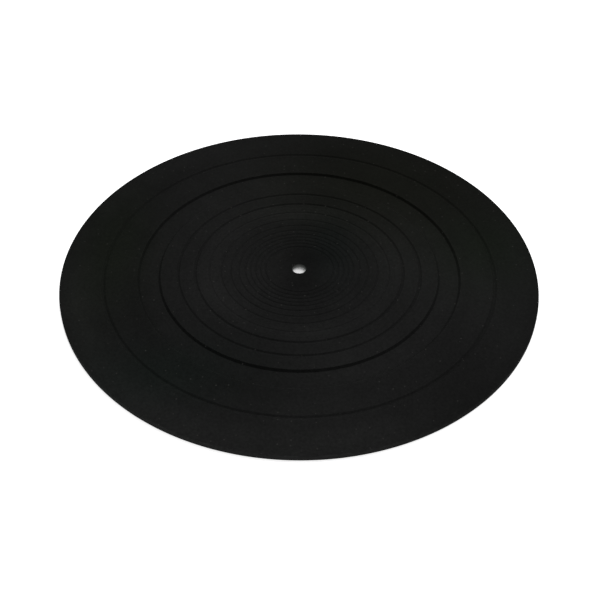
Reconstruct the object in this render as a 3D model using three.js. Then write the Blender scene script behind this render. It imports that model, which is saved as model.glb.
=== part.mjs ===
import * as THREE from 'three';

// Turntable platter mat: one moulded rubber disc. Its upper face has a shallow recess for the
// record's label, rings pressed into it at a widening pitch, a sunken channel and a wide flat rim.
// Millimetres, +Z up. The origin is the centre of the underside, on the axis of the spindle hole.

// Disc
const matDiameter = 295;
const matThickness = 3;
const spindleHoleDiameter = 8.3;
const rimEdgeRadius = 0.4;
const holeEdgeRadius = 0.3;

// Recess under the record's label, and the gentle slope around it
const labelRecessDiameter = 105;
const labelRecessDepth = 0.5;
const labelSlopeWidth = 7;

// Rings pressed into the face, from the label recess out to the channel
const firstRingRadius = 21.3;
const steadyRingCount = 5;
const steadyRingPitch = 3.1;
const wideningRingPitch = 4.1;
const wideningRatio = 1.208;
const fineRingWidth = 1.8;
const fineRingDepth = 0.25;
const bandRingWidth = 2.4;
const bandRingDepth = 0.5;

// Sunken channel and the flat rim, placed from the rim inwards
const rimLandWidth = 26.5;
const rimRingWidth = 3;
const rimRingDepth = 0.5;
const outerLandWidth = 20.8;
const channelWidth = 14.3;
const channelDepth = 1.2;
const channelSideWidth = 1.4;

// Facets around the disc, and steps along a rounded edge
const facetsAround = 96;
const edgeSteps = 2;

// Radii that follow from the sizes above
const matRadius = matDiameter / 2;
const holeRadius = spindleHoleDiameter / 2;
const recessFloorRadius = labelRecessDiameter / 2;
const recessTopRadius = recessFloorRadius + labelSlopeWidth;
const rimRingRadius = matRadius - rimLandWidth;
const channelOuterRadius = rimRingRadius - outerLandWidth;
const channelInnerRadius = channelOuterRadius - channelWidth;
const recessHeight = matThickness - labelRecessDepth;

// The pressed rings: an even pitch near the spindle, then a pitch that widens ring by ring.
function pressedRings() {
  const rings = [];
  let radius = firstRingRadius;
  let pitch = wideningRingPitch;
  while (radius + bandRingWidth / 2 < channelInnerRadius) {
    const fine = radius < recessTopRadius;
    rings.push({
      radius,
      width: fine ? fineRingWidth : bandRingWidth,
      depth: fine ? fineRingDepth : bandRingDepth,
    });
    if (rings.length < steadyRingCount) {
      radius += steadyRingPitch;
    } else {
      radius += pitch;
      pitch *= wideningRatio;
    }
  }
  return rings;
}

const rings = [
  ...pressedRings(),
  { radius: rimRingRadius, width: rimRingWidth, depth: rimRingDepth },
];

// Goes from 0 at the start to 1 at the end, and stays there.
function ramp(value, start, end) {
  return THREE.MathUtils.clamp((value - start) / (end - start), 0, 1);
}

// Height of the upper face at a radius: the disc's thickness, less the recess, channel and rings.
function faceHeight(radius) {
  const recess = labelRecessDepth * (1 - ramp(radius, recessFloorRadius, recessTopRadius));
  const channel = channelDepth * Math.min(
    ramp(radius, channelInnerRadius, channelInnerRadius + channelSideWidth),
    ramp(radius, channelOuterRadius, channelOuterRadius - channelSideWidth),
  );
  const ringCuts = rings.map((ring) =>
    ring.depth * (1 - ramp(Math.abs(radius - ring.radius), 0, ring.width / 2)));
  return matThickness - recess - channel - Math.max(...ringCuts);
}

// The upper face has a corner wherever its slope changes: at the recess, the channel and each ring.
function upperFacePoints() {
  const corners = new Set([
    recessFloorRadius,
    recessTopRadius,
    channelInnerRadius,
    channelInnerRadius + channelSideWidth,
    channelOuterRadius - channelSideWidth,
    channelOuterRadius,
    ...rings.flatMap(({ radius, width }) => [radius - width / 2, radius, radius + width / 2]),
  ]);
  return [...corners]
    .sort((a, b) => b - a)
    .map((radius) => new THREE.Vector2(radius, faceHeight(radius)));
}

// Quarter round between two faces, about a centre in the section, from one angle to the next.
function quarterRound(centreRadius, centreHeight, radius, startAngle) {
  return Array.from({ length: edgeSteps + 1 }, (_, step) => {
    const angle = startAngle + (step / edgeSteps) * (Math.PI / 2);
    return new THREE.Vector2(
      centreRadius + radius * Math.cos(angle),
      centreHeight + radius * Math.sin(angle),
    );
  });
}

// Section of the disc, as radius and height: along the underside, up the rim, in over the upper
// face and down the wall of the spindle hole.
function matSection() {
  const section = [
    new THREE.Vector2(holeRadius, 0),
    new THREE.Vector2(matRadius, 0),
    ...quarterRound(matRadius - rimEdgeRadius, matThickness - rimEdgeRadius, rimEdgeRadius, 0),
    ...upperFacePoints(),
    ...quarterRound(holeRadius + holeEdgeRadius, recessHeight - holeEdgeRadius, holeEdgeRadius,
      Math.PI / 2),
  ];
  section.push(section[0].clone());
  return section;
}

const rubber = new THREE.MeshStandardMaterial({ color: 0x1b1c1c, roughness: 0.8, metalness: 0 });

function platterMat() {
  const disc = new THREE.LatheGeometry(matSection(), facetsAround);
  // A lathe turns about +Y, so the disc is laid flat with its face up.
  disc.rotateX(Math.PI / 2);
  const mesh = new THREE.Mesh(disc, rubber);
  mesh.name = 'platter_mat';
  return mesh;
}

const model = new THREE.Group();
model.add(platterMat());

export default model;
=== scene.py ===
"""Looks of a turntable platter mat: one moulded rubber disc lying on a pale studio floor.

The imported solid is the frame. The fine disc that is shown is turned from the solid's own section:
each corner of the section is rounded as moulded rubber is, and the section is carried round the
spindle's axis. All lengths are metres, with +Z up through the spindle hole.
"""

import enum
import logging
import math
from dataclasses import dataclass

import bpy
import numpy as np
from mathutils import Matrix, Vector


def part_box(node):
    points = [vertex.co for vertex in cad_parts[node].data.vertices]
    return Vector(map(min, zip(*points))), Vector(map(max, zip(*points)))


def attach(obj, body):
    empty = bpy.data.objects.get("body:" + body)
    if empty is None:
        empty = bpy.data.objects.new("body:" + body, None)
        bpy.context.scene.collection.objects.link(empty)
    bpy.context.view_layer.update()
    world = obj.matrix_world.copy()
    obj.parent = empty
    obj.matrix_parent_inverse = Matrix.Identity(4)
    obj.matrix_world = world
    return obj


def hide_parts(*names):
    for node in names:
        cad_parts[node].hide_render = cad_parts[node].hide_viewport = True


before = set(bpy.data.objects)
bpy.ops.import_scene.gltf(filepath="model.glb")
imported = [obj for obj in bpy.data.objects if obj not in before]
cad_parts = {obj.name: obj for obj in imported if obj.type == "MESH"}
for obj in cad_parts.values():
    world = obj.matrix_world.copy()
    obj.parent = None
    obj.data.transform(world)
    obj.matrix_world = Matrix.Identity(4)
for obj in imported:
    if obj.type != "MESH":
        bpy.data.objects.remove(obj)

logging.basicConfig(level=logging.INFO, format="%(name)s: %(message)s")
log = logging.getLogger("platter mat")

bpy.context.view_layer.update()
MAT_NODE = "platter_mat"
WHITE = (1.0, 1.0, 1.0, 1.0)

# A corner that turns by this angle counts in full as an outer edge.
SHARP_TURN = math.radians(45.0)

# The solid's places are read to a micrometre, and what lies lower than a nanometre is underneath.
PLACE_DIGITS = 6
PLACE_ERROR = 1e-6
LEVEL_ERROR = 1e-9

# The moulded grain is this share of noise. The rest is cells, this many times as large.
GRAIN_NOISE_SHARE = 0.65
GRAIN_CELL = 2.6

# Wear along an edge begins where its noise passes the first number, and is whole at the second.
WEAR_RANGE = (0.35, 0.65)


class Zone(enum.IntEnum):
    """Which side of the mat a face belongs to, and so which finish it takes."""

    UPPER = 0
    UNDERSIDE = 1


@dataclass(frozen=True)
class PhotoCamera:
    """The camera of the photograph, worked out from the mat's outline, its rings and its hole.

    The distance is counted in mat radii from the middle of the upper face.
    """

    elevation_deg: float = 41.516
    distance_in_radii: float = 4.305
    pitch_deg: float = 43.309
    roll_deg: float = 0.4
    sideways_in_radii: float = 0.0042
    lens_mm: float = 61.08
    sensor_mm: float = 36.0

    def build(self, mat_radius: float, face_height: float) -> bpy.types.Object:
        """Makes the camera and hands it to the scene.

        Args:
            mat_radius: Radius of the mat.
            face_height: Height of the mat's upper face above the floor.

        Returns:
            The camera's object.
        """
        distance = self.distance_in_radii * mat_radius
        elevation = math.radians(self.elevation_deg)
        data = bpy.data.cameras.new("photo_camera")
        data.lens = self.lens_mm
        data.sensor_width = self.sensor_mm
        camera = bpy.data.objects.new("photo_camera", data)
        place = Matrix.Translation(
            (
                self.sideways_in_radii * mat_radius,
                -distance * math.cos(elevation),
                distance * math.sin(elevation) + face_height,
            )
        )
        tilt = Matrix.Rotation(math.radians(90.0 - self.pitch_deg), 4, "X")
        roll = Matrix.Rotation(math.radians(self.roll_deg), 4, "Z")
        camera.matrix_world = place @ tilt @ roll
        bpy.context.scene.collection.objects.link(camera)
        bpy.context.scene.camera = camera
        return camera


@dataclass(frozen=True)
class SoftBox:
    """A square studio lamp that faces the mat.

    Attributes:
        name: The lamp's name.
        azimuth_deg: Direction of the lamp from the mat, with 0 along +X and 90 along +Y.
        elevation_deg: Height of the lamp above the floor, as an angle.
        distance: Distance from the mat's middle.
        side: Length of the lamp's sides.
        level: Share of plain white light that the lamp gives to the mat's middle.
    """

    name: str
    azimuth_deg: float
    elevation_deg: float
    distance: float
    side: float
    level: float

    def build(self) -> bpy.types.Object:
        """Makes the lamp.

        A small lamp of power P at distance d and elevation e lights a level surface with
        P sin e / (pi d^2), and plain light is pi, so its power is level * pi^2 * d^2 / sin e.

        Returns:
            The lamp's object.
        """
        azimuth, elevation = math.radians(self.azimuth_deg), math.radians(self.elevation_deg)
        data = bpy.data.lights.new(self.name, "AREA")
        data.shape = "SQUARE"
        data.size = self.side
        data.energy = self.level * (math.pi * self.distance) ** 2 / math.sin(elevation)
        lamp = bpy.data.objects.new(self.name, data)
        towards = Vector(
            (
                math.cos(azimuth) * math.cos(elevation),
                math.sin(azimuth) * math.cos(elevation),
                math.sin(elevation),
            )
        )
        lamp.location = towards * self.distance
        lamp.rotation_mode = "QUATERNION"
        lamp.rotation_quaternion = (-towards).to_track_quat("-Z", "Y")
        bpy.context.scene.collection.objects.link(lamp)
        return lamp


@dataclass
class Studio:
    """The pale floor, the soft lamps and the room's even light.

    Attributes:
        floor_side: Length of the floor's sides.
        floor_drop: How far the floor lies under the mat, so that the two faces don't share a plane.
        floor_colour: Colour of the floor.
        floor_glow: White that the camera sees on top of the colour of the open floor round the mat.
        room_level: Share of plain white light that the room gives.
        floor_bounce: Share of plain white light that the pale floor sends up all round.
        lamps: The studio lamps.
    """

    floor_side: float = 12.0
    floor_drop: float = 0.00002
    floor_colour: tuple[float, float, float, float] = (0.85, 0.85, 0.85, 1.0)
    floor_glow: float = 0.70
    room_level: float = 0.4
    floor_bounce: float = 0.7
    lamps: tuple[SoftBox, ...] = (
        SoftBox(
            "overhead_lamp",
            azimuth_deg=72.0,
            elevation_deg=48.0,
            distance=6.0,
            side=4.0,
            level=0.6,
        ),
    )

    def build(self, mat_radius: float) -> None:
        """Makes the floor, the lamps and the room.

        Args:
            mat_radius: Radius of the mat.
        """
        self.build_floor(mat_radius)
        for lamp in self.lamps:
            lamp.build()
            log.info("lamp %s gives %.2f of plain light", lamp.name, lamp.level)
        self.build_room()

    def build_floor(self, mat_radius: float) -> bpy.types.Object:
        """Lays the floor under the mat.

        Args:
            mat_radius: Radius of the mat.

        Returns:
            The floor's object.
        """
        half = self.floor_side / 2.0
        mesh = bpy.data.meshes.new("studio_floor")
        corners = [(-half, -half), (half, -half), (half, half), (-half, half)]
        mesh.from_pydata([(x, y, -self.floor_drop) for x, y in corners], [], [(0, 1, 2, 3)])
        mesh.materials.append(self.floor_material(mat_radius))
        floor = bpy.data.objects.new("studio_floor", mesh)
        bpy.context.scene.collection.objects.link(floor)
        for ray in ("visible_diffuse", "visible_glossy", "visible_shadow"):
            setattr(floor, ray, False)
        return floor

    def floor_material(self, mat_radius: float) -> bpy.types.Material:
        """Pale matte floor that looks white round the mat, and can't be seen from below.

        Args:
            mat_radius: Radius of the mat, which covers the floor's glow.

        Returns:
            The floor's material.
        """
        material = bpy.data.materials.new("studio_floor")
        material.use_nodes = True
        material.node_tree.nodes.clear()
        bench = NodeBench(material.node_tree)
        matte = bench.add("ShaderNodeBsdfDiffuse", {"Color": self.floor_colour})
        radius = bench.radius(bench.add("ShaderNodeTexCoord").outputs["Object"])
        open_floor = bench.math("GREATER_THAN", radius, mat_radius)
        glow_level = bench.math("MULTIPLY", open_floor, self.floor_glow)
        strength = bench.math("MULTIPLY", bench.seen_directly(), glow_level)
        glow = bench.add("ShaderNodeEmission", {"Color": WHITE, "Strength": strength})
        shaders = {0: matte.outputs["BSDF"], 1: glow.outputs["Emission"]}
        both = bench.add("ShaderNodeAddShader", shaders)
        below = bench.add("ShaderNodeNewGeometry").outputs["Backfacing"]
        clear = bench.add("ShaderNodeBsdfTransparent").outputs["BSDF"]
        pick = bench.add("ShaderNodeMixShader", {0: below, 1: both.outputs["Shader"], 2: clear})
        bench.add("ShaderNodeOutputMaterial", {"Surface": pick.outputs["Shader"]})
        return material

    def build_room(self) -> bpy.types.World:
        """Lights the room dimly from above and by the pale floor from below.

        The camera and reflections see the room as plain white.

        Returns:
            The world.
        """
        world = bpy.data.worlds.new("studio_room")
        world.use_nodes = True
        world.node_tree.nodes.clear()
        bench = NodeBench(world.node_tree)
        direction = bench.add("ShaderNodeTexCoord").outputs["Generated"]
        height = bench.add("ShaderNodeSeparateXYZ", {"Vector": direction}).outputs["Z"]
        downward = bench.math("LESS_THAN", height, 0.0)
        lit = bench.between(downward, self.room_level, self.floor_bounce)
        level = bench.between(bench.seen_directly(), lit, 1.0)
        back = bench.add("ShaderNodeBackground", {"Color": WHITE, "Strength": level})
        bench.add("ShaderNodeOutputWorld", {"Surface": back.outputs["Background"]})
        bpy.context.scene.world = world
        return world


Value = bpy.types.NodeSocket | float | tuple[float, ...]


class ColourMix(enum.IntEnum):
    """Sockets of a Mix node that mixes colours: its three inputs, and its result."""

    SHARE = 0
    FIRST = 6
    SECOND = 7
    RESULT = 2


class NodeBench:
    """Adds nodes to one node tree and joins them up."""

    def __init__(self, tree: bpy.types.NodeTree) -> None:
        """Takes the tree that gets the nodes."""
        self.tree = tree

    def add(
        self, kind: str, inputs: dict[str | int, Value] | None = None, **settings: object
    ) -> bpy.types.Node:
        """Adds a node.

        Args:
            kind: The node's type.
            inputs: The value of each input, or the socket that it comes from.
            settings: The node's own settings.

        Returns:
            The node.
        """
        node = self.tree.nodes.new(kind)
        for name, setting in settings.items():
            setattr(node, name, setting)
        for name, value in (inputs or {}).items():
            self.feed(node.inputs[name], value)
        return node

    def feed(self, socket: bpy.types.NodeSocket, value: Value) -> None:
        """Gives an input its value, or joins it to the socket that the value comes from.

        Args:
            socket: The input.
            value: The value or the socket.
        """
        if isinstance(value, bpy.types.NodeSocket):
            self.tree.links.new(value, socket)
        else:
            socket.default_value = value

    def math(self, operation: str, first: Value, second: Value = 0.0) -> bpy.types.NodeSocket:
        """Works out one number from two.

        Args:
            operation: The Math node's operation.
            first: Its first value.
            second: Its second value.

        Returns:
            The result.
        """
        node = self.add("ShaderNodeMath", {0: first, 1: second}, operation=operation)
        return node.outputs["Value"]

    def vector(self, operation: str, first: Value, second: Value) -> bpy.types.NodeSocket:
        """Works out one vector from two.

        Args:
            operation: The Vector Math node's operation.
            first: Its first value.
            second: Its second value.

        Returns:
            The result.
        """
        node = self.add("ShaderNodeVectorMath", {0: first, 1: second}, operation=operation)
        return node.outputs["Vector"]

    def radius(self, place: bpy.types.NodeSocket) -> bpy.types.NodeSocket:
        """Gives the distance of a place from the spindle's axis, the length of (x, y).

        Args:
            place: The place.

        Returns:
            The distance.
        """
        flat = self.vector("MULTIPLY", place, (1.0, 1.0, 0.0))
        return self.add("ShaderNodeVectorMath", {0: flat}, operation="LENGTH").outputs["Value"]

    def between(self, share: Value, low: Value, high: Value) -> bpy.types.NodeSocket:
        """Goes from one number to another: low + (high - low) * share.

        Args:
            share: The share, from 0 to 1.
            low: The number at share 0.
            high: The number at share 1.

        Returns:
            The number.
        """
        node = self.add("ShaderNodeMapRange", {"Value": share, "To Min": low, "To Max": high})
        return node.outputs["Result"]

    def blend(self, share: Value, first: Value, second: Value) -> bpy.types.NodeSocket:
        """Mixes two colours.

        Args:
            share: Share of the second colour.
            first: The first colour.
            second: The second colour.

        Returns:
            The mixed colour.
        """
        inputs = {ColourMix.SHARE: share, ColourMix.FIRST: first, ColourMix.SECOND: second}
        return self.add("ShaderNodeMix", inputs, data_type="RGBA").outputs[ColourMix.RESULT]

    def bell(self, value: Value) -> bpy.types.NodeSocket:
        """Gives exp(-v^2), a soft mask that is 1 where the value v is 0.

        Args:
            value: The value.

        Returns:
            The mask.
        """
        squared = self.math("MULTIPLY", value, value)
        return self.math("EXPONENT", self.math("MULTIPLY", squared, -1.0))

    def swing(self, value: Value, gain: float) -> bpy.types.NodeSocket:
        """Gives 1 + gain * (2 v - 1): a factor that swings about 1 as the value v goes from 0 to 1.

        Args:
            value: The value, from 0 to 1.
            gain: How far the factor swings.

        Returns:
            The factor.
        """
        return self.math("ADD", self.math("MULTIPLY", value, 2.0 * gain), 1.0 - gain)

    def raise_by(self, value: Value, gain: float) -> bpy.types.NodeSocket:
        """Gives 1 + gain * v: a factor that is 1 where the value v is 0.

        Args:
            value: The value, from 0 to 1.
            gain: How far the factor rises, or falls if negative, where the value is 1.

        Returns:
            The factor.
        """
        return self.math("ADD", self.math("MULTIPLY", value, gain), 1.0)

    def product(self, factors: list[Value]) -> Value:
        """Multiplies factors.

        Args:
            factors: The factors.

        Returns:
            Their product.
        """
        result = factors[0]
        for factor in factors[1:]:
            result = self.math("MULTIPLY", result, factor)
        return result

    def seen_directly(self) -> bpy.types.NodeSocket:
        """Gives 1 where the camera, a reflection or a refraction looks, and 0 for gathered light.

        Returns:
            The mask.
        """
        path = self.add("ShaderNodeLightPath").outputs
        mirrored = self.math("MAXIMUM", path["Is Camera Ray"], path["Is Glossy Ray"])
        return self.math("MAXIMUM", mirrored, path["Is Transmission Ray"])


class Effect:
    """A node group that the finishes share, built once and placed in each with its own values."""

    def __init__(self, name: str, inputs: tuple[str, ...], output: str) -> None:
        """Makes the empty group.

        Args:
            name: The group's name.
            inputs: Names of its inputs beside Vector, all of them numbers.
            output: Name of its one output, a number that varies over the surface.
        """
        self.tree = bpy.data.node_groups.new(name, "ShaderNodeTree")
        self.output_name = output
        self.tree.interface.new_socket("Vector", in_out="INPUT", socket_type="NodeSocketVector")
        for label in inputs:
            self.tree.interface.new_socket(label, in_out="INPUT", socket_type="NodeSocketFloat")
        self.tree.interface.new_socket(output, in_out="OUTPUT", socket_type="NodeSocketFloat")
        self.bench = NodeBench(self.tree)
        self.given = self.bench.add("NodeGroupInput").outputs

    def noise(self, size: Value, **inputs: Value) -> bpy.types.NodeSocket:
        """Adds a noise on the group's Vector.

        Args:
            size: Size of the noise's patches.
            inputs: Its other inputs. A W makes it a noise in four dimensions.

        Returns:
            The noise, mostly between 0.3 and 0.7.
        """
        scale = self.bench.math("DIVIDE", 1.0, size)
        given = {"Vector": self.given["Vector"], "Scale": scale} | inputs
        dimensions = "4D" if "W" in inputs else "3D"
        noise = self.bench.add("ShaderNodeTexNoise", given, noise_dimensions=dimensions)
        return noise.outputs["Fac"]

    def close(self, result: bpy.types.NodeSocket) -> None:
        """Joins the result to the group's output."""
        self.bench.add("NodeGroupOutput", {self.output_name: result})

    def place(self, bench: NodeBench, values: dict[str, Value]) -> bpy.types.NodeSocket:
        """Puts the group into a material.

        Args:
            bench: The bench of the material's tree.
            values: The value of each of the group's inputs.

        Returns:
            The group's output.
        """
        return bench.add("ShaderNodeGroup", values, node_tree=self.tree).outputs[self.output_name]


class EffectShelf:
    """The effects that the mat's finishes are made of."""

    def __init__(self) -> None:
        """Builds every effect once."""
        self.grain = self.build_grain()
        self.turned_marks = self.build_turned_marks()
        self.patches = self.build_patches()
        self.ring_patch = self.build_ring_patch()
        self.spot_patch = self.build_spot_patch()
        self.specks = self.build_specks()
        self.rubbed = self.build_rubbed_and_highlit()

    @staticmethod
    def build_grain() -> Effect:
        """Builds the fine grain of a blasted mould.

        The height is a noise of the grain's size by GRAIN_NOISE_SHARE, and for the rest the
        hollows between cells of GRAIN_CELL times that size.

        Returns:
            The effect, from 0 in the pores to 1 on the grains.
        """
        effect = Effect("moulded_grain", ("Grain Size",), "Height")
        bench, given = effect.bench, effect.given
        cell_size = bench.math("MULTIPLY", given["Grain Size"], GRAIN_CELL)
        cells = bench.add(
            "ShaderNodeTexVoronoi",
            {"Vector": given["Vector"], "Scale": bench.math("DIVIDE", 1.0, cell_size)},
            feature="F1",
        )
        noise = effect.noise(given["Grain Size"], Detail=3.0, Roughness=0.6)
        fine = bench.math("MULTIPLY", noise, GRAIN_NOISE_SHARE)
        coarse = bench.math("MULTIPLY", cells.outputs["Distance"], 1.0 - GRAIN_NOISE_SHARE)
        effect.close(bench.math("ADD", fine, coarse))
        return effect

    @staticmethod
    def build_turned_marks() -> Effect:
        """Builds the faint rings that the turned mould leaves.

        The height is (1 + sin(2 pi r / pitch)) / 2 at radius r, faded in and out by a noise.

        Returns:
            The effect, from 0 to 1.
        """
        effect = Effect("turned_marks", ("Pitch", "Patch Size"), "Height")
        bench, given = effect.bench, effect.given
        turns = bench.math("DIVIDE", bench.radius(given["Vector"]), given["Pitch"])
        wave = bench.math("SINE", bench.math("MULTIPLY", turns, 2.0 * math.pi))
        lifted = bench.math("MULTIPLY", bench.math("ADD", wave, 1.0), 0.5)
        noise = effect.noise(given["Patch Size"], Detail=1.0)
        effect.close(bench.math("MULTIPLY", lifted, noise))
        return effect

    @staticmethod
    def build_patches() -> Effect:
        """Builds soft patches, such as the grey bloom that comes out of old rubber.

        A noise of the patches' size is stretched about its middle and held between 0 and 1.

        Returns:
            The effect, from 0 to 1.
        """
        effect = Effect("soft_patches", ("Patch Size", "Seed", "Contrast"), "Mask")
        bench, given = effect.bench, effect.given
        noise = effect.noise(given["Patch Size"], W=given["Seed"], Detail=2.0, Roughness=0.5)
        centred = bench.math("SUBTRACT", noise, 0.5)
        stretched = bench.math("MULTIPLY", centred, given["Contrast"])
        mask = bench.add("ShaderNodeClamp", {"Value": bench.math("ADD", stretched, 0.5)})
        effect.close(mask.outputs["Result"])
        return effect

    @staticmethod
    def build_ring_patch() -> Effect:
        """Builds a soft ring, such as the rubbed ring round the label that also carries a painted
        sheen.

        The ring is exp(-((r - radius) / spread)^2) at radius r.

        Returns:
            The effect, 1 at the ring's radius.
        """
        effect = Effect("ring_patch", ("Radius", "Spread"), "Mask")
        bench, given = effect.bench, effect.given
        outward = bench.math("SUBTRACT", bench.radius(given["Vector"]), given["Radius"])
        effect.close(bench.bell(bench.math("DIVIDE", outward, given["Spread"])))
        return effect

    @staticmethod
    def build_spot_patch() -> Effect:
        """Builds a soft round or flattened spot, which the upper face uses for its own tone and for
        painted light and shade.

        The spot is exp(-(distance / spread)^2), where a length along Y counts squash times.

        Returns:
            The effect, 1 in the spot's middle.
        """
        effect = Effect("spot_patch", ("Across", "Along", "Spread", "Squash"), "Mask")
        bench, given = effect.bench, effect.given
        middle = bench.add("ShaderNodeCombineXYZ", {"X": given["Across"], "Y": given["Along"]})
        shape = bench.add("ShaderNodeCombineXYZ", {"X": 1.0, "Y": given["Squash"]})
        away = bench.vector("SUBTRACT", given["Vector"], middle.outputs["Vector"])
        squashed = bench.vector("MULTIPLY", away, shape.outputs["Vector"])
        effect.close(bench.bell(bench.math("DIVIDE", bench.radius(squashed), given["Spread"])))
        return effect

    @staticmethod
    def build_specks() -> Effect:
        """Builds sparse specks of dust.

        The disc is split, seen from above, into cells of the spacing's size. A cell whose random
        number n is under the share has a speck, which fades from its middle to the radius
        speck size * n / share.

        Returns:
            The effect, 1 in the middle of a speck.
        """
        effect = Effect("dust_specks", ("Spacing", "Speck Size", "Share"), "Mask")
        bench, given = effect.bench, effect.given
        cells = bench.add(
            "ShaderNodeTexVoronoi",
            {"Vector": given["Vector"], "Scale": bench.math("DIVIDE", 1.0, given["Spacing"])},
            feature="F1",
            voronoi_dimensions="2D",
        )
        parts = bench.add("ShaderNodeSeparateColor", {"Color": cells.outputs["Color"]}).outputs
        draw = parts["Red"]
        growth = bench.math("DIVIDE", draw, given["Share"])
        size = bench.math("MULTIPLY", given["Speck Size"], growth)
        away = bench.math("MULTIPLY", cells.outputs["Distance"], given["Spacing"])
        nearness = bench.math("SUBTRACT", 1.0, bench.math("DIVIDE", away, size))
        held = bench.add("ShaderNodeClamp", {"Value": nearness}).outputs["Result"]
        chosen = bench.math("LESS_THAN", draw, given["Share"])
        effect.close(bench.math("MULTIPLY", held, chosen))
        return effect

    @staticmethod
    def build_rubbed_and_highlit() -> Effect:
        """Builds broken wear along an edge, which the colour also uses for a painted highlight.

        The edge's own mask is multiplied by a noise that rises smoothly from 0 to 1 over
        WEAR_RANGE.

        Returns:
            The effect, 1 where the edge is rubbed most.
        """
        effect = Effect("rubbed_and_highlit_edge", ("Edge", "Patch Size"), "Mask")
        bench, given = effect.bench, effect.given
        noise = effect.noise(given["Patch Size"], Detail=2.0)
        kept = bench.add(
            "ShaderNodeMapRange",
            {"Value": noise, "From Min": WEAR_RANGE[0], "From Max": WEAR_RANGE[1]},
            interpolation_type="SMOOTHSTEP",
        )
        effect.close(bench.math("MULTIPLY", given["Edge"], kept.outputs["Result"]))
        return effect


class Mask(enum.Enum):
    """The mat's own masks, each a number at every vertex."""

    RING_WALL = "ring_wall"
    # Outer edges, which get wear and a painted highlight.
    WORN_AND_HIGHLIT_EDGE = "worn_and_highlit_edge"
    SIDE_WALL = "side_wall"
    HOLE_WALL = "hole_wall"


@dataclass(frozen=True)
class Dressing:
    """One material of the mat while its finish is being made.

    Attributes:
        bench: The bench of the material's tree.
        effects: The shared effects.
        place: The place on the mat.
        mat_radius: Radius of the mat.
    """

    bench: NodeBench
    effects: EffectShelf
    place: bpy.types.NodeSocket
    mat_radius: float

    def put(self, effect: Effect, values: dict[str, Value]) -> bpy.types.NodeSocket:
        """Puts a shared effect into the material.

        Args:
            effect: The effect.
            values: The value of each of its inputs beside Vector.

        Returns:
            The effect's output.
        """
        return effect.place(self.bench, {"Vector": self.place} | values)

    def mask(self, mask: Mask) -> bpy.types.NodeSocket:
        """Reads one of the mat's own masks."""
        return self.bench.add("ShaderNodeAttribute", attribute_name=mask.value).outputs["Fac"]


@dataclass(frozen=True)
class Blotches:
    """Soft patches of lighter and darker rubber.

    Attributes:
        size: Size of the patches.
        tone: How much they change the brightness.
        seed: Which pattern is taken.
        contrast: How sharply light and dark patches part.
    """

    size: float
    tone: float
    seed: float
    contrast: float

    def place(self, work: Dressing) -> bpy.types.NodeSocket:
        """Puts the patches into a material.

        Args:
            work: The material.

        Returns:
            The patches' mask.
        """
        values = {"Patch Size": self.size, "Seed": self.seed, "Contrast": self.contrast}
        return work.put(work.effects.patches, values)


@dataclass(frozen=True)
class RingPatch:
    """A soft ring of lighter or darker colour, for rubbed rubber and for painted light.

    Attributes:
        radius_share: Radius of the ring, as a share of the mat's.
        spread_share: How far it spreads, as a share of the mat's radius.
        gain: How much lighter its middle is.
    """

    radius_share: float
    spread_share: float
    gain: float

    def place(self, work: Dressing) -> bpy.types.NodeSocket:
        """Puts the ring into a material.

        Args:
            work: The material.

        Returns:
            The factor for the rubber's colour.
        """
        values = {
            "Radius": self.radius_share * work.mat_radius,
            "Spread": self.spread_share * work.mat_radius,
        }
        return work.bench.raise_by(work.put(work.effects.ring_patch, values), self.gain)


@dataclass(frozen=True, kw_only=True)
class Spot:
    """A soft spot on the mat. Its sizes are shares of the mat's radius.

    Attributes:
        across_share: Place of its middle along +X.
        along_share: Place of its middle along +Y.
        spread_share: How far it spreads along X.
        squash: How many times less it spreads along Y.
    """

    across_share: float
    along_share: float
    spread_share: float
    squash: float = 1.0

    def mask(self, work: Dressing) -> bpy.types.NodeSocket:
        """Puts the spot into a material.

        Args:
            work: The material.

        Returns:
            The spot's mask.
        """
        values = {
            "Across": self.across_share * work.mat_radius,
            "Along": self.along_share * work.mat_radius,
            "Spread": self.spread_share * work.mat_radius,
            "Squash": self.squash,
        }
        return work.put(work.effects.spot_patch, values)


@dataclass(frozen=True, kw_only=True)
class SpotPatch(Spot):
    """A soft spot of lighter or darker colour, for the rubber's own tone and for painted light and
    shade.

    Attributes:
        gain: How much lighter its middle is.
    """

    gain: float

    def place(self, work: Dressing) -> bpy.types.NodeSocket:
        """Puts the spot into a material, as a factor for the rubber's colour."""
        return work.bench.raise_by(self.mask(work), self.gain)


@dataclass(frozen=True, kw_only=True)
class TingeSpot(Spot):
    """A soft spot where the old rubber has turned a little olive or green.

    Attributes:
        red_gain: How much redder its middle is.
        blue_gain: How much bluer its middle is.
    """

    red_gain: float
    blue_gain: float


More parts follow.
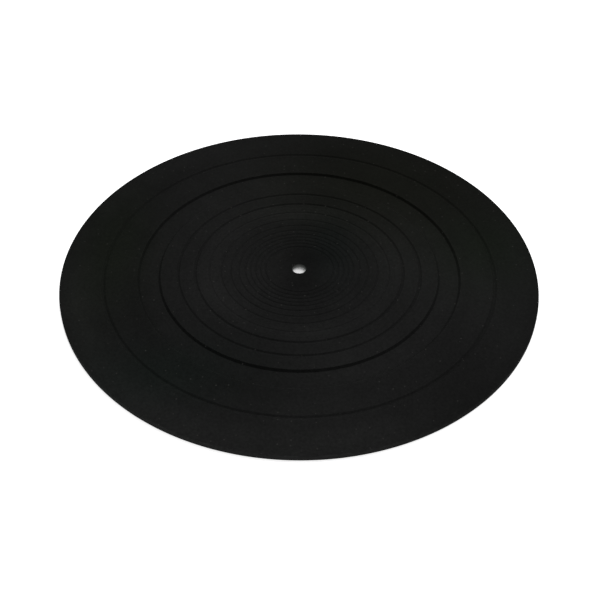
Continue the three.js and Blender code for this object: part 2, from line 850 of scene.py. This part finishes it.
@dataclass(frozen=True)
class RubberFinish:
    """Black moulded rubber with grain, bloom, rubbed rings and edges, and a little dust, with
    painted light and shade: darker ring walls, lighter rim and hole walls, painted highlights on
    edges, and painted light in some patches.

    Attributes:
        name: The material's name.
        colour: Colour of clean rubber.
        bloom_colour: Colour of rubber that has bloomed.
        dust_colour: Colour of a speck of dust.
        specular: How strongly it mirrors, where 0.5 is usual.
        roughness: How matte it is.
        roughness_swing: How far the bloom changes that.
        edge_polish: How much smoother rubbed edges are.
        grain_size: Size of the moulded grain.
        grain_depth: Depth of the grain and the turned marks together.
        grain_tone: How much lighter the grains are than the pores.
        mark_pitch: Distance between turned marks.
        mark_share: Depth of the turned marks, as a share of the grain's.
        bloom: Large patches of grey bloom, which also tint the rubber.
        smears: Smaller uneven patches, from finger marks down to the rubber's own mottle.
        patches: Rings and spots of lighter and darker colour, partly rubbed rubber and partly
            painted light and shade, such as a lighter near side and a painted sheen on the label's
            slope.
        tinges: Spots where the rubber has changed its hue.
        wear_size: Size of the breaks in the wear along edges.
        wall_painted_shade: Change of brightness on the walls of rings and channel: painted shade
            that darkens them.
        edge_wear_and_highlight: Change of brightness on rubbed edges: wear, and a painted highlight
            on the crests.
        side_painted_light: Change of brightness on the rim's wall: painted light that makes it
            lighter.
        hole_painted_light: Change of brightness on the hole's wall: painted light, strongest at its
            foot, as light from the floor would give.
        speck_spacing: Distance between places that may hold a speck.
        speck_size: Radius of the largest specks.
        speck_share: Share of those places that hold one.
    """

    name: str
    colour: tuple[float, float, float, float] = (0.00703, 0.00714, 0.007, 1.0)
    bloom_colour: tuple[float, float, float, float] = (0.00875, 0.00882, 0.00872, 1.0)
    dust_colour: tuple[float, float, float, float] = (0.038, 0.037, 0.035, 1.0)
    specular: float = 0.004
    roughness: float = 0.6
    roughness_swing: float = 0.10
    edge_polish: float = 0.15
    grain_size: float = 0.00045
    grain_depth: float = 0.00002
    grain_tone: float = 0.22
    mark_pitch: float = 0.0011
    mark_share: float = 0.25
    bloom: Blotches = Blotches(size=0.075, tone=0.10, seed=3.0, contrast=2.0)
    smears: tuple[Blotches, ...] = (
        Blotches(size=0.016, tone=0.08, seed=4.0, contrast=1.8),
        Blotches(size=0.0015, tone=0.22, seed=5.0, contrast=1.8),
    )
    patches: tuple[RingPatch | SpotPatch, ...] = ()
    tinges: tuple[TingeSpot, ...] = ()
    wear_size: float = 0.006
    wall_painted_shade: float = -0.24
    edge_wear_and_highlight: float = 0.8
    side_painted_light: float = 1.0
    hole_painted_light: float = 30.0
    speck_spacing: float = 0.007
    speck_size: float = 0.0006
    speck_share: float = 0.5

    def build(self, effects: EffectShelf, mat_radius: float) -> bpy.types.Material:
        """Makes the rubber's material.

        Args:
            effects: The shared effects.
            mat_radius: Radius of the mat.

        Returns:
            The material.
        """
        material = bpy.data.materials.new(self.name)
        material.use_nodes = True
        bench = NodeBench(material.node_tree)
        shader = material.node_tree.nodes["Principled BSDF"]
        place = bench.add("ShaderNodeTexCoord").outputs["Object"]
        work = Dressing(bench, effects, place, mat_radius)
        bloom = self.bloom.place(work)
        grain = work.put(effects.grain, {"Grain Size": self.grain_size})
        wear = {"Edge": work.mask(Mask.WORN_AND_HIGHLIT_EDGE), "Patch Size": self.wear_size}
        # Rubbed edges: wear in roughness and colour, and a painted highlight in colour.
        rubbed = work.put(effects.rubbed, wear)
        colour = self.coat_with_dust(work, bloom, self.tone(work, bloom, grain, rubbed))
        bench.feed(shader.inputs["Base Color"], colour)
        bench.feed(shader.inputs["Roughness"], self.matte(bench, bloom, rubbed))
        bench.feed(shader.inputs["Normal"], self.relief(work, grain))
        shader.inputs["Specular IOR Level"].default_value = self.specular
        return material

    def tone(
        self,
        work: Dressing,
        bloom: bpy.types.NodeSocket,
        grain: bpy.types.NodeSocket,
        rubbed: bpy.types.NodeSocket,
    ) -> bpy.types.NodeSocket:
        """Multiplies everything that makes the rubber lighter or darker, painted light and shade
        among it.

        Args:
            work: The material.
            bloom: Mask of the bloom.
            grain: Height of the grain.
            rubbed: Mask of the rubbed edges, which carry wear and a painted highlight.

        Returns:
            The factor for the rubber's colour.
        """
        bench = work.bench
        factors = [
            bench.swing(bloom, self.bloom.tone),
            bench.swing(grain, self.grain_tone),
            # Lighter rubbed edges: wear, and a painted highlight on the crests.
            bench.raise_by(rubbed, self.edge_wear_and_highlight),
            # Painted shade on the steep walls of rings and channel.
            bench.raise_by(work.mask(Mask.RING_WALL), self.wall_painted_shade),
            # Painted light on the rim's wall.
            bench.raise_by(work.mask(Mask.SIDE_WALL), self.side_painted_light),
            # Painted light on the hole's wall, strongest at its foot.
            bench.raise_by(work.mask(Mask.HOLE_WALL), self.hole_painted_light),
        ]
        factors += [bench.swing(smear.place(work), smear.tone) for smear in self.smears]
        # On the upper face these rings and spots include painted light and shade.
        factors += [patch.place(work) for patch in self.patches]
        return bench.product(factors)

    def tinge(self, work: Dressing) -> bpy.types.NodeSocket:
        """Multiplies everything that changes the rubber's hue.

        Args:
            work: The material.

        Returns:
            The factors for red, green and blue.
        """
        bench = work.bench
        red, blue = [1.0], [1.0]
        for spot in self.tinges:
            mask = spot.mask(work)
            red.append(bench.raise_by(mask, spot.red_gain))
            blue.append(bench.raise_by(mask, spot.blue_gain))
        factors = {"X": bench.product(red), "Y": 1.0, "Z": bench.product(blue)}
        return bench.add("ShaderNodeCombineXYZ", factors).outputs["Vector"]

    def coat_with_dust(
        self, work: Dressing, bloom: bpy.types.NodeSocket, tone: bpy.types.NodeSocket
    ) -> bpy.types.NodeSocket:
        """Mixes the clean and the bloomed rubber, gives them tone and tinge, and adds the dust.

        Args:
            work: The material.
            bloom: Mask of the bloom.
            tone: Factor for the rubber's colour.

        Returns:
            The colour.
        """
        bench = work.bench
        rubber = bench.blend(bloom, self.colour, self.bloom_colour)
        toned = bench.add("ShaderNodeVectorMath", {0: rubber, "Scale": tone}, operation="SCALE")
        tinged = bench.vector("MULTIPLY", toned.outputs["Vector"], self.tinge(work))
        dust = {
            "Spacing": self.speck_spacing,
            "Speck Size": self.speck_size,
            "Share": self.speck_share,
        }
        return bench.blend(work.put(work.effects.specks, dust), tinged, self.dust_colour)

    def matte(
        self, bench: NodeBench, bloom: bpy.types.NodeSocket, rubbed: bpy.types.NodeSocket
    ) -> bpy.types.NodeSocket:
        """Gives the roughness: more under bloom, less on rubbed edges.

        Args:
            bench: The bench of the material's tree.
            bloom: Mask of the bloom.
            rubbed: Mask of the rubbed edges.

        Returns:
            The roughness.
        """
        bloomed = bench.swing(bloom, self.roughness_swing)
        polished = bench.raise_by(rubbed, -self.edge_polish)
        return bench.product([bloomed, polished, self.roughness])

    def relief(self, work: Dressing, grain: bpy.types.NodeSocket) -> bpy.types.NodeSocket:
        """Gives the fine relief of grain and turned marks.

        Args:
            work: The material.
            grain: Height of the grain.

        Returns:
            The direction that the surface faces.
        """
        bench = work.bench
        turned = {"Pitch": self.mark_pitch, "Patch Size": self.bloom.size}
        marks = work.put(work.effects.turned_marks, turned)
        height = bench.math("ADD", grain, bench.math("MULTIPLY", marks, self.mark_share))
        inputs = {"Height": height, "Strength": 1.0, "Distance": self.grain_depth}
        return bench.add("ShaderNodeBump", inputs).outputs["Normal"]


UPPER_FINISH = RubberFinish(
    "mat_rubber_upper",
    # Fitted to the mat's brightness: partly the rubber's own tone, partly painted light and shade.
    patches=(
        # Rubbed ring round the label, with a painted sheen on its slope.
        RingPatch(radius_share=0.378, spread_share=0.053, gain=0.205),
        RingPatch(radius_share=0.58, spread_share=0.25, gain=0.23),
        RingPatch(radius_share=0.703, spread_share=0.037, gain=-0.09),
        RingPatch(radius_share=0.939, spread_share=0.054, gain=0.13),
        SpotPatch(across_share=0.025, along_share=0.054, spread_share=0.13, gain=-0.48),
        SpotPatch(across_share=-0.115, along_share=-0.062, spread_share=0.22, gain=0.53),
        SpotPatch(across_share=0.0, along_share=-0.10, spread_share=0.12, gain=-0.40),
        SpotPatch(across_share=0.07, along_share=-0.02, spread_share=0.16, squash=2.5, gain=0.23),
        # Painted sheen on the label's slope at the far side.
        SpotPatch(across_share=0.04, along_share=0.367, spread_share=0.19, squash=3.2, gain=0.49),
        SpotPatch(across_share=0.113, along_share=0.37, spread_share=0.176, gain=-0.27),
        SpotPatch(across_share=-0.29, along_share=-0.617, spread_share=0.31, gain=-0.37),
        # Painted light: the near side made lighter, as a lamp in front would make it.
        SpotPatch(across_share=-0.32, along_share=-1.16, spread_share=0.60, gain=0.76),
        SpotPatch(across_share=0.17, along_share=0.826, spread_share=0.29, gain=-0.37),
        SpotPatch(across_share=0.76, along_share=0.68, spread_share=0.39, gain=-0.395),
        SpotPatch(across_share=0.488, along_share=-0.01, spread_share=0.15, gain=0.19),
        SpotPatch(across_share=0.76, along_share=-0.16, spread_share=0.14, squash=0.55, gain=0.375),
        SpotPatch(across_share=0.164, along_share=-0.49, spread_share=0.084, gain=0.175),
        SpotPatch(across_share=-0.9, along_share=-0.2, spread_share=0.117, squash=0.44, gain=0.27),
        SpotPatch(across_share=-0.637, along_share=-0.16, spread_share=0.135, gain=-0.14),
    ),
    tinges=(
        TingeSpot(
            across_share=0.40, along_share=0.615, spread_share=0.50, squash=1.22,
            red_gain=-0.04, blue_gain=-0.22,
        ),
        TingeSpot(
            across_share=-0.80, along_share=0.12, spread_share=0.17, squash=0.4,
            red_gain=-0.14, blue_gain=-0.23,
        ),
        TingeSpot(
            across_share=-0.50, along_share=-0.60, spread_share=0.29, squash=1.76,
            red_gain=-0.17, blue_gain=-0.08,
        ),
        TingeSpot(
            across_share=0.81, along_share=0.15, spread_share=0.235, squash=0.9,
            red_gain=-0.165, blue_gain=-0.21,
        ),
        TingeSpot(
            across_share=0.14, along_share=0.155, spread_share=0.11, squash=0.5,
            red_gain=-0.125, blue_gain=-0.01,
        ),
    ),
)
UNDERSIDE_FINISH = RubberFinish(
    "mat_rubber_underside",
    grain_size=0.0006,
    grain_depth=0.00003,
    bloom=Blotches(size=0.06, tone=0.14, seed=11.0, contrast=2.0),
    patches=(
        RingPatch(radius_share=0.30, spread_share=0.05, gain=-0.12),
        RingPatch(radius_share=0.93, spread_share=0.04, gain=0.18),
    ),
)


@dataclass(frozen=True)
class Outline:
    """A closed line of points with the direction that the surface faces at each.

    Attributes:
        places: Radius and height of each point, counted round the section.
        facing: Outward direction at each point, in the section's plane.
        edge: How far each point stands on an outer edge, from 0 to 1.
    """

    places: np.ndarray
    facing: np.ndarray
    edge: np.ndarray


def solid_corners(node: str) -> np.ndarray:
    """Reads the corners of the mat's section off its solid.

    The solid is turned, so its vertices that lie towards -Y give the whole section. The highest
    vertex at each radius is a corner of the rim, the upper face or the hole, and the underside
    has two corners at height 0.

    Args:
        node: Name of the solid.

    Returns:
        Radius and height of each corner: along the underside, up the rim, in over the upper face,
        and down the hole.
    """
    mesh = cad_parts[node].data
    places = np.empty(len(mesh.vertices) * 3, np.float32)
    mesh.vertices.foreach_get("co", places)
    x, y, z = places.reshape(-1, 3).astype(float).T
    ahead = (np.abs(x) < PLACE_ERROR) & (y < 0.0)
    radii, order = np.unique(np.round(-y[ahead], PLACE_DIGITS), return_inverse=True)
    heights = np.zeros(len(radii))
    np.maximum.at(heights, order, z[ahead])
    upper = np.stack([radii, heights], axis=1)[::-1]
    under = np.array([[radii[0], 0.0], [radii[-1], 0.0]])
    return np.concatenate([under, upper])


def round_corners(corners: np.ndarray, reach: float, steps: int) -> Outline:
    """Rounds every corner of a closed line.

    A corner C gives way to the quadratic curve A (1-s)^2 + 2 C s (1-s) + B s^2, for s from 0 to 1,
    where A and B lie on the two sides of the corner, at the reach or half a side from it. The
    curve's direction is (C - A)(1-s) + (B - C)s, and the surface faces to the right of it. A
    corner that turns left by the angle t is an outer edge, and its curve stands on that edge by
    sin(pi s) times t / SHARP_TURN, which counts as 1 at most.

    Args:
        corners: The corners, one row each.
        reach: How far from a corner its curve starts.
        steps: How many steps the curve has.

    Returns:
        The rounded line.
    """
    before = np.roll(corners, 1, axis=0) - corners
    after = np.roll(corners, -1, axis=0) - corners
    before_length = np.linalg.norm(before, axis=1, keepdims=True)
    after_length = np.linalg.norm(after, axis=1, keepdims=True)
    start = corners + before / before_length * np.minimum(reach, before_length / 2.0)
    end = corners + after / after_length * np.minimum(reach, after_length / 2.0)
    s = np.linspace(0.0, 1.0, steps + 1)[None, :, None]
    a, b, c = start[:, None], end[:, None], corners[:, None]
    places = a * (1.0 - s) ** 2 + 2.0 * c * s * (1.0 - s) + b * s**2
    along = (c - a) * (1.0 - s) + (b - c) * s
    facing = np.stack([along[..., 1], -along[..., 0]], axis=-1)
    facing /= np.linalg.norm(facing, axis=-1, keepdims=True)
    cross = before[:, 1] * after[:, 0] - before[:, 0] * after[:, 1]
    turn = np.arcsin(np.clip(cross / (before_length * after_length)[:, 0], -1.0, 1.0))
    sharp = np.clip(turn / SHARP_TURN, 0.0, 1.0)
    edge = sharp[:, None] * np.sin(np.pi * s[..., 0])
    return Outline(places.reshape(-1, 2), facing.reshape(-1, 2), edge.reshape(-1))


@dataclass
class PlatterMat:
    """The mat: a rubber disc with its hole, label recess, rings, channel and flat rim.

    Attributes:
        corner_reach: How far the moulded corners are rounded.
        corner_steps: Steps along each rounded corner.
        turns: Faces round the disc.
        side_reach: How far from the rim and from the hole's wall a slope counts as their side.
        steep_wall: Sideways lean at which a ring's wall counts in full.
        hole_light_fade: How far the painted light on the hole's wall fades from the underside to
            the full thickness.
        upper_finish: Finish of the upper face, the rim and the hole.
        underside_finish: Finish of the underside.
    """

    corner_reach: float = 0.00018
    corner_steps: int = 3
    turns: int = 420
    side_reach: float = 0.0006
    steep_wall: float = 0.6
    hole_light_fade: float = 1.05
    upper_finish: RubberFinish = UPPER_FINISH
    underside_finish: RubberFinish = UNDERSIDE_FINISH

    def __post_init__(self) -> None:
        """Takes the mat's size from the frame."""
        low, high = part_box(MAT_NODE)
        self.radius = (high.x - low.x) / 2.0
        self.thickness = high.z - low.z

    def build(self) -> bpy.types.Object:
        """Turns the disc, dresses it and puts it in the solid's place.

        Returns:
            The disc's object.
        """
        outline = round_corners(solid_corners(MAT_NODE), self.corner_reach, self.corner_steps)
        mesh = self.turn(outline)
        for mask, values in self.masks(outline).items():
            layer = mesh.attributes.new(mask.value, "FLOAT", "POINT")
            layer.data.foreach_set("value", np.tile(values, self.turns).astype(np.float32))
        effects = EffectShelf()
        for finish in (self.upper_finish, self.underside_finish):
            mesh.materials.append(finish.build(effects, self.radius))
        piece = bpy.data.objects.new("mat_disc", mesh)
        bpy.context.scene.collection.objects.link(piece)
        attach(piece, "root")
        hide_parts(MAT_NODE)
        log.info("%s has %d faces", piece.name, len(mesh.polygons))
        return piece

    def turn(self, outline: Outline) -> bpy.types.Mesh:
        """Carries the section round the Z axis.

        A point of the section, at radius r and height h, goes to (r cos a, r sin a, h) for each
        angle a round the disc.

        Args:
            outline: The section.

        Returns:
            The disc's mesh, with the exact direction of the surface at each vertex.
        """
        count = len(outline.places)
        angles = np.arange(self.turns) * (2.0 * np.pi / self.turns)
        around = np.stack([np.cos(angles), np.sin(angles)], axis=1)[:, None, :]
        places = self.carry(outline.places, around)
        facing = self.carry(outline.facing, around)
        here = np.arange(self.turns)[:, None] * count
        there = np.roll(here, -1, axis=0)
        point = np.arange(count)[None, :]
        following = np.roll(point, -1, axis=1)
        quads = (here + point, there + point, there + following, here + following)
        faces = np.stack(quads, axis=-1).reshape(-1, 4)
        mesh = bpy.data.meshes.new("mat_disc")
        mesh.from_pydata(places, [], faces)
        mesh.polygons.foreach_set("use_smooth", np.ones(len(faces), bool))
        low = outline.places[:, 1] < LEVEL_ERROR
        flat_underneath = np.tile(low & np.roll(low, -1), self.turns)
        zones = np.where(flat_underneath, Zone.UNDERSIDE, Zone.UPPER).astype(np.int32)
        mesh.polygons.foreach_set("material_index", zones)
        mesh.update()
        mesh.normals_split_custom_set_from_vertices(facing)
        return mesh

    def masks(self, outline: Outline) -> dict[Mask, np.ndarray]:
        """Works out the masks that the finishes read.

        A point near the rim, or near the hole, is on that wall by as much as it leans sideways;
        both masks carry painted light. The hole's wall fades with height by 1 - hole_light_fade *
        height / thickness.
        Elsewhere a point is on a ring's wall by its sideways lean over the steep wall's, up to 1,
        and that mask carries painted shade.

        Args:
            outline: The section.

        Returns:
            Each mask's number at each point of the section.
        """
        radii, heights = outline.places.T
        lean = np.abs(outline.facing[:, 0])
        at_rim = radii > self.radius - self.side_reach
        at_hole = radii < radii.min() + self.side_reach
        steepness = np.clip(lean / self.steep_wall, 0.0, 1.0)
        # Painted light on the hole's wall, fading upward from the underside.
        hole_light = lean * (1.0 - self.hole_light_fade * heights / self.thickness)
        return {
            Mask.RING_WALL: np.where(at_rim | at_hole, 0.0, steepness),
            Mask.WORN_AND_HIGHLIT_EDGE: outline.edge,
            Mask.SIDE_WALL: np.where(at_rim, lean, 0.0),
            Mask.HOLE_WALL: np.where(at_hole, hole_light, 0.0),
        }

    @staticmethod
    def carry(pairs: np.ndarray, around: np.ndarray) -> np.ndarray:
        """Carries the section's pairs of numbers round the axis.

        Args:
            pairs: Two numbers for each point: one outward from the axis and one upward.
            around: Cosine and sine of each angle.

        Returns:
            The three numbers of each point at each angle.
        """
        outward = pairs[None, :, :1] * around
        upward = np.broadcast_to(pairs[None, :, 1:], (len(around), len(pairs), 1))
        return np.concatenate([outward, upward], axis=2).reshape(-1, 3)


def main() -> None:
    """Makes the camera, the mat and the studio, in that order."""
    mat = PlatterMat()
    PhotoCamera().build(mat.radius, mat.thickness)
    mat.build()
    Studio().build(mat.radius)
    bpy.context.scene.view_settings.view_transform = "Standard"


if __name__ == "__main__":
    main()
